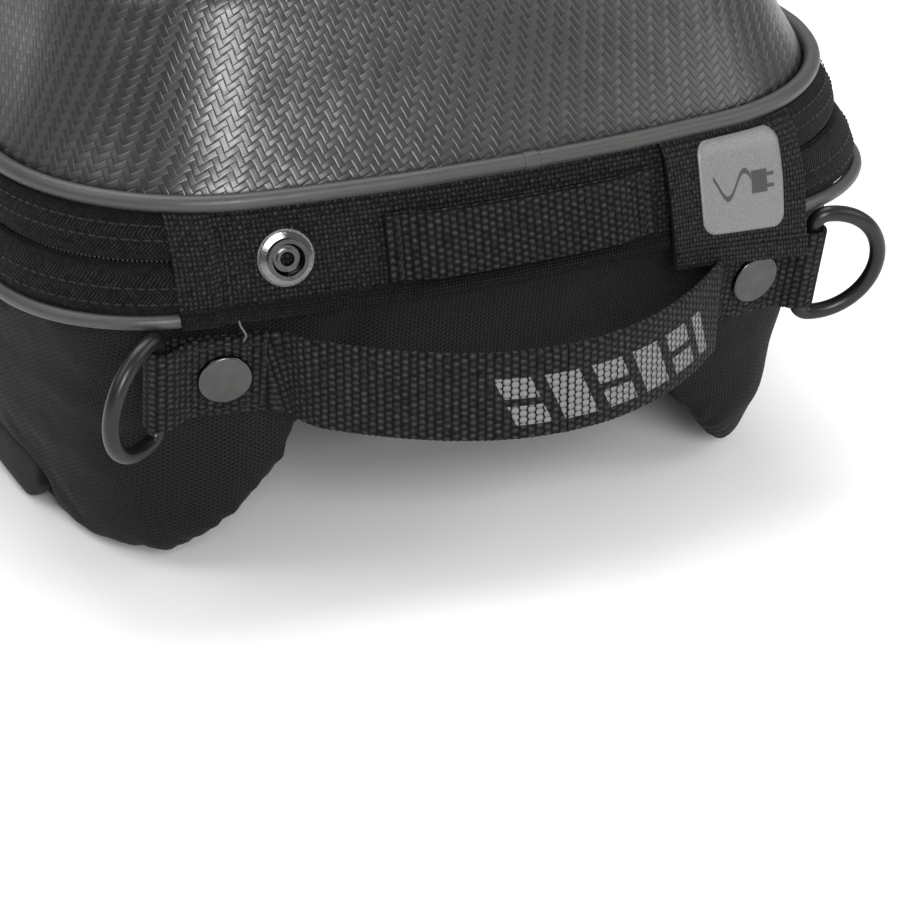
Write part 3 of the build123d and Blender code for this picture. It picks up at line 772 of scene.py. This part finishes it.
panel_face = curve_through([(-0.2, 115.9), (0.3, 114.0), (0.7, 110.5), (1.0, 106.0), (1.1, 101.0),
                            (1.0, 96.0), (0.8, 92.5), (0.6, 89.6)], 4)
panel = loft("front_panel_cloth", sheet_section(panel_face, 1.4), ("front", -PANEL_HEM, PANEL_HEM), 420,
             "panel_weave", None, panel_push, replaces=("front_panel",))
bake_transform(panel)
hem_z = np.arange(90.0, 113.0, STITCH_PITCH)
hem_rows = [row for x in (-78.0, 78.0) for row in upright_stitches(x, hem_z, 1.1, (0, 0.1, 1), panel_push)]
stitches("panel_stitching", hem_rows, "thread", "root", 2.2, 0.26)
loft("panel_binding", sheet_section([(1.5, 91.2), (2.0, 90.4), (2.1, 89.6), (1.9, 88.6), (1.3, 87.9)], 1.2),
     ("front", -PANEL_HEM, PANEL_HEM), 300, "binding", "root", panel_push)


# ------------------------------------------------------------------ webbing loop

LOOP = (-35.0, 44.0)        # the webbing loop's two ends


def loop_push(p, z):
    """Down to the panel at its sewn ends, standing off between them."""
    near_end = np.minimum(p[:, 0] - LOOP[0], LOOP[1] - p[:, 0])
    return -2.3 * (1 - fade(near_end, 5.5, 12.5) ** 0.8) + wobble(p, 0.25, 18.0, 21.0)


loop_line = [(4.7, z) for z in np.linspace(110.2, 93.6, 12)]
loft("daisy_webbing", sheet_section(loop_line, 1.5), ("front", *LOOP), 160, "webbing", "root",
     loop_push, replaces=("webbing_loop",))
tack_rows = [row for x in (LOOP[0] + 3.5, LOOP[1] - 3.5)
             for row in upright_stitches(x, np.arange(95.0, 109.4, 2.2), 2.5, (0.35, 0, 1),
                                         lambda p, z: np.full(len(p), 0.1))]
stitches("webbing_loop_bartacks", tack_rows, "thread", "root", 2.4, 0.32)


# ------------------------------------------------------------------ cable flap

FLAP = (47.6, 92.0)         # the cable flap's two sides
FLAP_TOP = 116.2


def flap_bottom(x):
    """The flap's lower edge slopes down towards the bag's side."""
    return np.interp(x, [47.6, 73.0, 97.0], [83.4, 79.8, 76.6])


def flap_line(z, count):
    """Points and normals across the flap at one height of the band."""
    grow, corner = band_at(z)
    return stretch(grow + 3.7, corner + 3.7, z, ("front", *FLAP), count)


def cable_flap():
    """A stiff double-layer flap. Its lower edge slopes, and its left edge stands off the panel."""
    count, levels, thick, hem_level, stitch_level = 150, 34, 1.5, 0.86, 0.84
    grow, corner = band_at(100.0)
    across_x = stretch(grow, corner, 100.0, ("front", *FLAP), count)[0][:, 0]
    outer, normals = [], []
    for t in np.linspace(0, 1, levels):
        z = FLAP_TOP * (1 - t) + flap_bottom(across_x) * t
        (low, low_n), (high, high_n) = flap_line(z.min(), count), flap_line(z.max(), count)
        mix = ((z - z.min()) / max(z.max() - z.min(), 1e-6))[:, None]
        line = low * (1 - mix) + high * mix
        normal = low_n * (1 - mix) + high_n * mix
        line[:, 2] = z
        lift = 1.6 * np.exp(-((across_x - FLAP[0]) / 6.0) ** 2) * np.sin(min(1.0, t * 1.2) * math.pi / 2)
        tuck = -3.0 * fade(t, 0.16, 0.0) ** 2
        belly = 0.8 * math.sin(math.pi * t) + wobble(line, 0.6, 22.0, 31.0) * min(1.0, t * 3)
        hem = 0.45 if t > hem_level else 0.0
        outer.append(line + normal * (lift + tuck + belly + hem)[:, None])
        normals.append(normal)
    outer, normals = np.array(outer), np.array(normals)
    grid = np.concatenate([outer, (outer - normals * thick)[::-1]])
    faces = grid_faces(2 * levels, count, True, False)
    for k in range(levels - 1):
        for c in (0, count - 1):
            quad = tuple(row * count + c for row in (k, k + 1, 2 * levels - 2 - k, 2 * levels - 1 - k))
            faces.append(quad[::-1] if c else quad)
    along = np.linspace(0, 52.0, count)
    across = np.concatenate([np.linspace(0, 36, levels), np.linspace(38, 74, levels)])
    uvs = np.stack(np.broadcast_arrays(along[None, :], across[:, None]), -1).reshape(-1, 2)
    make("cable_flap_cloth", grid.reshape(-1, 3), faces, "panel_weave", "cable_flap", uvs,
         ("cable_flap",))
    line, line_normals = outer[int(levels * stitch_level)], normals[int(levels * stitch_level)]
    sewn = [(line[k], line[k + 1] - line[k], line_normals[k]) for k in range(4, count - 3, 7)]
    stitches("cable_flap_stitching", sewn, "thread", "cable_flap", 2.0, 0.26)
    return outer, normals


flap_outer, flap_normals = cable_flap()


def flap_label():
    """A thin transfer on the flap with rounded corners."""
    width, height, radius, rings = 27.0, 25.4, 4.0, 14
    middle_x, middle_z, face_out, edge_out = 71.2, 102.0, 0.32, -0.2
    x_of, z_of = flap_outer[10, :, 0], flap_outer[:, 60, 2]
    verts, uvs, faces = [], [], []
    angles = np.linspace(0, 2 * math.pi, 96, endpoint=False)
    core = np.array([width / 2 - radius, height / 2 - radius])
    rim = np.stack([np.clip(np.cos(angles) * 60, -core[0], core[0]) + radius * np.cos(angles),
                    np.clip(np.sin(angles) * 60, -core[1], core[1]) + radius * np.sin(angles)], 1)

    def put(a, b, out):
        """Adds a vertex at a place on the label, out from the flap's face."""
        x, z = middle_x + a, middle_z + b
        row = np.interp(z, z_of[::-1], np.arange(len(z_of))[::-1])
        column = np.interp(x, x_of, np.arange(len(x_of)))
        r0, c0 = int(min(row, len(z_of) - 2)), int(min(column, len(x_of) - 2))
        fr, fc = row - r0, column - c0
        place = sum(w * flap_outer[r0 + i, c0 + j] for i, j, w in (
            (0, 0, (1 - fr) * (1 - fc)), (0, 1, (1 - fr) * fc), (1, 0, fr * (1 - fc)), (1, 1, fr * fc)))
        verts.append(place + flap_normals[r0, c0] * out)
        uvs.append((a + LABEL_MIDDLE[0], b + LABEL_MIDDLE[1]))

    for k in range(rings + 1):
        for a, b in rim * (k / rings) if k else [(0.0, 0.0)]:
            put(a, b, face_out)
    m = len(angles)
    faces += [(0, 1 + k, 1 + (k + 1) % m) for k in range(m)]
    for ring in range(rings - 1):
        s = 1 + ring * m
        faces += [(s + k, s + m + k, s + m + (k + 1) % m, s + (k + 1) % m) for k in range(m)]
    s, e = 1 + (rings - 1) * m, len(verts)
    for a, b in rim:
        put(a, b, edge_out)
    faces += [(s + k, e + k, e + (k + 1) % m, s + (k + 1) % m) for k in range(m)]
    put(0, 0, edge_out)
    c = len(verts) - 1
    faces += [(c, e + (k + 1) % m, e + k) for k in range(m)]
    make("flap_label_film", verts, faces, "reflective", "cable_flap", uvs, ("flap_label",))


flap_label()


# ------------------------------------------------------------------ handle and its sewn ends

WEBBING, THICK = 25.4, 1.6
HANDLE_Z = 70.8
RIVET = np.array([78.3, -134.731, HANDLE_Z])        # where the right rivet's axis meets the wall
TAB_X = np.array([0.98629, 0.16505, 0.0])           # along the right sewn end
TAB_N = np.array([0.161238, -0.963522, -0.213608])  # out of the wall
TAB_UP = np.array([0.035255, -0.210678, 0.97692])   # up the wall


SIDE_NAME = {-1: "left", 1: "right"}


def tab_point(x, z, y=0.0):
    """A place on the sewn end: along it, out from the wall, and up it."""
    return RIVET + TAB_X * x + TAB_N * z + TAB_UP * y


def ribbon(name, centres, ups, material, body, side, replaces, u_start=0.0):
    """A flat strap along a line, mirrored when side is -1. ups gives the way across it at each point."""
    centres, ups = np.array(centres, dtype=float), np.array(ups, dtype=float)
    tangent = np.gradient(centres, axis=0)
    tangent /= np.linalg.norm(tangent, axis=1)[:, None]
    ups -= tangent * (ups * tangent).sum(1)[:, None]
    ups /= np.linalg.norm(ups, axis=1)[:, None]
    out = np.cross(tangent, ups)
    half, t, ripple, ripple_pitch = WEBBING / 2, THICK / 2, 0.12, 1.8
    face = [(v, t) for v in np.linspace(-half + 2.2, half - 2.2, 11)]
    edge = [(half - 0.7, t), (half - 0.1, t * 0.55), (half, 0.0), (half - 0.1, -t * 0.55), (half - 0.7, -t)]
    other_edge = [(-a, b) for a, b in edge[::-1]]
    section = other_edge[1:] + face + edge + [(v, -t) for v, _ in face[::-1]] + other_edge[:1]
    run = run_along(centres)
    rows, uvs = [], []
    for a, b in section:
        notch = ripple * np.sin(run * 2 * math.pi / ripple_pitch) * (abs(a) > half - 0.5)
        rows.append(centres + ups * (a + np.sign(a) * notch)[:, None] + out * b)
        uvs.append(np.column_stack([u_start + run, np.full(len(run), a + half)]))
    rows, uvs = np.array(rows), np.array(uvs)
    if side < 0:
        rows[:, :, 0] *= -1
        uvs[:, :, 0] *= -1
    count = len(centres)
    faces = grid_faces(len(section), count, True, False, side < 0) + end_caps(len(section), count, side < 0)
    return make(name, rows.reshape(-1, 3), faces, material, body, uvs.reshape(-1, 2), replaces)


def refine(points, step=0.6):
    """Spaces points evenly along a line."""
    p = np.array(points, dtype=float)
    run = run_along(p)
    s = np.linspace(0, run[-1], int(run[-1] / step) + 1)
    return np.stack([np.interp(s, run, p[:, k]) for k in range(3)], 1)


def handle_half(side):
    """From the middle of the grip, round the sharp bend and onto the wall."""
    front_y, sag = -183.15, 0.00834
    arc = [(x, front_y + sag * x * x, HANDLE_Z) for x in (0, 10, 20, 30, 40, 48, 54, 58.5)]
    bend = [(61.2, -150.6, HANDLE_Z), (63.2, -145.4, HANDLE_Z), tab_point(-12.6, 4.6), tab_point(-10.0, 3.7),
            tab_point(-6.0, 3.6)]
    line = refine(curve_through(arc + bend, 10), 0.6)
    to_wall = fade(line[:, 0], 58.0, 65.0)[:, None]
    ups = np.array([0, 0, 1.0]) * (1 - to_wall) + TAB_UP * to_wall
    strap = ribbon(f"handle_webbing_{SIDE_NAME[side]}", line, ups, "webbing_printed", None, side,
                   ("handle_strap",))
    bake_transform(strap)


def tab(side):
    """The webbing's sewn end: along the wall, round the ring's bar and back under itself."""
    bar_x, bar_z, r = 17.95, 5.0, 3.35
    outer = [(-6.0, 3.6), (-1.0, 3.6), (4.0, 3.6), (8.5, 3.8), (11.8, 5.4), (14.8, 7.7)]
    turn = [(bar_x + r * math.sin(a), bar_z + r * math.cos(a))
            for a in np.radians([0, 35, 70, 105, 140, 180])]
    inner = [(14.0, 1.75), (9.0, 2.0), (3.0, 2.0), (-4.0, 2.0), (-12.5, 2.0)]
    line = refine(curve_through([tab_point(x, z) for x, z in outer + turn + inner], 8), 0.6)
    name = SIDE_NAME[side]
    ribbon(f"tab_webbing_{name}", line, np.tile(TAB_UP, (len(line), 1)), "webbing", "root", side,
           (f"tab_{name}",), u_start=75.0)
    tab_stitches(side)


def tab_stitches(side):
    """A sewn box with a cross in it, broken off round the rivet's cap."""
    left, right, high, pitch, cap = -11.5, 11.0, 10.2, 2.5, 8.2
    face, slope_start, slope = 4.42, 8.5, 0.35
    corners = [(left, -high), (right, -high), (right, high), (left, high)]
    lines = list(zip(corners, corners[1:] + corners[:1]))
    lines += [(corners[0], corners[2]), (corners[3], corners[1])]
    mirror = np.array([side, 1, 1])
    rows = []
    for (x0, y0), (x1, y1) in lines:
        count = int(math.hypot(x1 - x0, y1 - y0) / pitch)
        for k in range(count):
            t = (k + 0.5) / count
            x, y = x0 + (x1 - x0) * t, y0 + (y1 - y0) * t
            if math.hypot(x, y) < cap:
                continue
            height = face + max(0.0, x - slope_start) * slope
            direction = TAB_X * (x1 - x0) + TAB_UP * (y1 - y0)
            rows.append((tab_point(x, height, y) * mirror, direction * mirror, TAB_N * mirror))
    stitches(f"tab_stitching_{SIDE_NAME[side]}", rows, "thread", "root", 2.0, 0.3)


for side in (-1, 1):
    handle_half(side)
    tab(side)


def loose_thread():
    """A short end of thread that hangs from the seam above the left rivet."""
    sides, radius = 6, 0.28
    line = refine(curve_through([(-76.5, -143.6, 88.8), (-76.2, -144.6, 86.8), (-75.2, -144.9, 84.9),
                                 (-74.6, -144.3, 83.4), (-75.3, -143.9, 82.0)], 6), 0.4)
    tangent = np.gradient(line, axis=0)
    tangent /= np.linalg.norm(tangent, axis=1)[:, None]
    across = np.cross(tangent, (0.0, 1.0, 0.0))
    across /= np.linalg.norm(across, axis=1)[:, None]
    other = np.cross(tangent, across)
    ring = [line + radius * (across * math.cos(a) + other * math.sin(a))
            for a in np.arange(sides) * 2 * math.pi / sides]
    faces = grid_faces(sides, len(line), True, False) + end_caps(sides, len(line))
    make("loose_thread", np.array(ring).reshape(-1, 3), faces, "pale_thread", "root")


loose_thread()


# ------------------------------------------------------------------ padded pieces

def evaluated(piece):
    """The piece's mesh with its modifiers applied."""
    bpy.context.view_layer.update()
    graph = bpy.context.evaluated_depsgraph_get()
    mesh = bpy.data.meshes.new_from_object(piece.evaluated_get(graph), depsgraph=graph)
    old = piece.data
    piece.modifiers.clear()
    piece.data = mesh
    bpy.data.meshes.remove(old)


def coords(mesh):
    """Vertex places in metres."""
    co = np.zeros(len(mesh.vertices) * 3)
    mesh.vertices.foreach_get("co", co)
    return co.reshape(-1, 3)


def vertex_normals(mesh):
    no = np.zeros(len(mesh.vertices) * 3)
    mesh.vertex_normals.foreach_get("vector", no)
    return no.reshape(-1, 3)


def soft_copy(node, name, voxel, material, body, smooth_steps):
    """A remeshed, smoothed copy of a CAD solid, ready to be swollen or creased."""
    piece = bpy.data.objects.new(name, nodes[node].data.copy())
    bpy.context.scene.collection.objects.link(piece)
    remesh = piece.modifiers.new("remesh", "REMESH")
    remesh.mode = "VOXEL"
    remesh.voxel_size = voxel * MM
    soften = piece.modifiers.new("soften", "SMOOTH")
    soften.factor = 0.5
    soften.iterations = smooth_steps
    evaluated(piece)
    piece.data.materials.clear()
    piece.data.materials.append(MAT[material])
    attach(piece, body)
    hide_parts(node)
    return piece


def swell(piece, mask, cap, pressure=4.0, frames=14):
    """Cloth under pressure, its movement capped and weighted by mask, in millimetres."""
    start = coords(piece.data)
    cloth = piece.modifiers.new("cloth", "CLOTH")
    cloth.settings.quality = 4
    cloth.settings.use_pressure = True
    cloth.settings.uniform_pressure_force = pressure
    cloth.settings.effector_weights.gravity = 0.0
    cloth.settings.tension_stiffness = cloth.settings.compression_stiffness = 12.0
    cloth.settings.bending_stiffness = 2.0
    cloth.point_cache.frame_start, cloth.point_cache.frame_end = 1, frames
    scene = bpy.context.scene
    for k in range(1, frames + 1):
        scene.frame_set(k)
    graph = bpy.context.evaluated_depsgraph_get()
    made = bpy.data.meshes.new_from_object(piece.evaluated_get(graph), depsgraph=graph)
    move = coords(made) - start
    bpy.data.meshes.remove(made)
    piece.modifiers.clear()
    scene.frame_set(1)
    size = np.linalg.norm(move, axis=1)
    limit = cap * MM * mask
    move *= (np.minimum(size, limit) / np.maximum(size, 1e-9))[:, None]
    piece.data.vertices.foreach_set("co", (start + move).ravel())
    piece.data.update()


def valley(x, y, points, width):
    """How near each place is to a line of points: 1 on it, 0 well away."""
    nearest = np.full(len(x), 1e9)
    for (x0, y0), (x1, y1) in zip(points, points[1:]):
        t = np.clip(((x - x0) * (x1 - x0) + (y - y0) * (y1 - y0)) / ((x1 - x0) ** 2 + (y1 - y0) ** 2), 0, 1)
        nearest = np.minimum(nearest, np.hypot(x - x0 - t * (x1 - x0), y - y0 - t * (y1 - y0)))
    return np.exp(-(nearest / width) ** 2)


def finish_pad(piece, co):
    """Sets new vertex places in millimetres and smooths the mesh."""
    piece.data.vertices.foreach_set("co", (co * MM).ravel())
    piece.data.update()
    smooth = piece.modifiers.new("smooth", "SUBSURF")
    smooth.levels = smooth.render_levels = 1
    evaluated(piece)
    piece.data.polygons.foreach_set("use_smooth", [True] * len(piece.data.polygons))


def padded_base():
    """The padded base: swollen by pressure, then creased and shaped at its legs."""
    base = soft_copy("base_shell", "padded_base", 3.4, "mesh", "root", 5)
    no = vertex_normals(base.data)
    x, y, z = (coords(base.data) / MM).T
    from_middle_x, along_y = np.abs(x), y - (FRONT + REAR) / 2
    from_middle_y = np.abs(along_y)
    radial = no[:, 0] * np.sign(x) * (from_middle_x > 85)
    radial += no[:, 1] * np.sign(along_y) * (from_middle_y > 120)
    outer = np.clip(radial * 1.6, 0, 1)
    tabs = np.exp(-(((from_middle_x - 82) / 17) ** 2 + ((z - 69) / 15) ** 2)) * (y < -100)
    swell(base, outer * fade(z, 88.0, 72.0) * (1 - 0.95 * np.clip(tabs * 1.6, 0, 1)), 4.0)
    co = coords(base.data) / MM
    no = vertex_normals(base.data)

    # Creases down the front, and rings of soft ripples round each side.
    front = np.clip(-no[:, 1] * 1.5, 0, 1) * (y < -110) * fade(z, 88.0, 78.0)
    move = np.zeros(len(co))
    for depth, width, line in ((-2.6, 4.5, [(-38, 90), (-46, 74), (-52, 58)]),
                               (-2.2, 4.5, [(24, 90), (31, 74), (44, 60)]),
                               (1.5, 12.0, [(-60, 80), (-68, 62), (-80, 46)])):
        move += depth * valley(x, z, line, width) * front
    for side, centre_z, depth, pitch, edge in ((-1, 95, 0.22, 2.9, 78), (1, 92, 0.4, 3.3, 84)):
        from_centre = np.hypot(x - side * 112, z - centre_z)
        move += depth * np.sin(from_centre / pitch) * (side * x > edge) * outer * fade(z, 90.0, 70.0)

    # The arch's lip hangs lower at both ends, and each leg's end is lower and rounder.
    lip = np.exp(-((z - 61) / 8.0) ** 2) * fade(from_middle_x, 60.0, 46.0) * fade(from_middle_y, 130.0, 142.0)
    co[:, 2] -= 7.5 * lip
    toe = fade(z, 50.0, 25.0) * fade(from_middle_y, 90.0, 125.0)
    co[:, 2] -= 4.0 * toe
    move += 4.5 * toe * outer
    belly = np.exp(-((z - 36) / 20.0) ** 2) * fade(from_middle_y, 115.0, 150.0)
    co[:, 0] -= np.sign(x) * 7.0 * belly * fade(from_middle_x, 98.0, 68.0) * fade(from_middle_x, 30.0, 50.0)

    waves = np.array([noise.noise(Vector((p[0] / 30, p[1] / 30, p[2] / 18))) for p in co])
    move += 1.4 * waves * outer * fade(z, 90.0, 76.0)
    finish_pad(base, co + no * (move * (1 - np.clip(tabs * 1.8, 0, 1)))[:, None])


padded_base()


def plain_pad(node, name, voxel, body, cap, shorter=1.0, inward=0.0, tip_lift=0.0):
    """A lined pad. Its ends can be drawn in, bent towards the bag and rounded up from the floor."""
    piece = soft_copy(node, name, voxel, "saddle", body, 4)
    co = coords(piece.data) / MM
    middle = (co.max(0) + co.min(0)) / 2
    co[:, 1] = middle[1] + (co[:, 1] - middle[1]) * shorter
    from_end = co[:, 1].max() - middle[1] - np.abs(co[:, 1] - middle[1])
    co[:, 0] -= np.sign(middle[0]) * fade(from_end, 40.0, 0.0) ** 2 * inward
    co[:, 2] += tip_lift * fade(from_end, 12.0, 0.0) * fade(co[:, 2] - middle[2], 4.0, -8.0)
    piece.data.vertices.foreach_set("co", (co * MM).ravel())
    swell(piece, np.full(len(co), 1.0), cap)
    co = coords(piece.data) / MM
    finish_pad(piece, co + vertex_normals(piece.data) * wobble(co, 0.35, 22.0)[:, None])


plain_pad("saddle_pad", "saddle_lining", 1.5, "root", 0.3, shorter=0.955)
for name in SIDE_NAME.values():
    plain_pad(f"side_flap_{name}", f"magnet_flap_{name}", 2.0, f"side_flap_{name}", 0.8, inward=1.0,
              tip_lift=6.0)


# ------------------------------------------------------------------ stage, light and camera

def area_light(name, place, target, size, power):
    """A square lamp that points at a target."""
    data = bpy.data.lights.new(name, "AREA")
    data.energy, data.size = power, size
    lamp = bpy.data.objects.new(name, data)
    bpy.context.scene.collection.objects.link(lamp)
    lamp.location = place
    lamp.rotation_euler = (Vector(target) - Vector(place)).to_track_quat("-Z", "Y").to_euler()


floor_mesh = bpy.data.meshes.new("floor")
floor_mesh.from_pydata([(-6, -6, 0), (6, -6, 0), (6, 6, 0), (-6, 6, 0)], [], [(0, 1, 2, 3)])
floor = bpy.data.objects.new("floor", floor_mesh)
bpy.context.scene.collection.objects.link(floor)
paper = Shader("paper", 0.9)
paper.put("Base Color", (0.93, 0.93, 0.93, 1.0))
floor_mesh.materials.append(paper.mat)

world = bpy.data.worlds.new("studio")
bpy.context.scene.world = world
world.use_nodes = True
sky = world.node_tree.nodes["Background"]
sky.inputs["Color"].default_value = (1.0, 1.0, 1.0, 1.0)
sky.inputs["Strength"].default_value = 0.5
area_light("key", (-0.35, -1.9, 1.0), (0, 0, 0.1), 0.7, 30)
area_light("left", (-1.2, -0.1, 1.4), (0, 0, 0.08), 1.0, 8)
area_light("fill", (1.3, -0.9, 0.9), (0, 0, 0.08), 1.0, 8)
area_light("top", (0.1, 0.5, 1.7), (0, 0, 0.1), 1.4, 28)

target = Vector((-0.01483, -0.14135, 0.03623))
azimuth, elevation, distance = math.radians(-24.0), math.radians(27.0), 1.050
back = Vector((math.sin(azimuth) * math.cos(elevation), -math.cos(azimuth) * math.cos(elevation),
               math.sin(elevation)))
camera_data = bpy.data.cameras.new("camera")
camera_data.lens, camera_data.sensor_width = 153.3, 36.0
camera = bpy.data.objects.new("camera", camera_data)
bpy.context.scene.collection.objects.link(camera)
camera.location = target + back * distance
camera.rotation_euler = (-back).to_track_quat("-Z", "Y").to_euler()
bpy.context.scene.camera = camera
bpy.context.scene.view_settings.view_transform = "Standard"
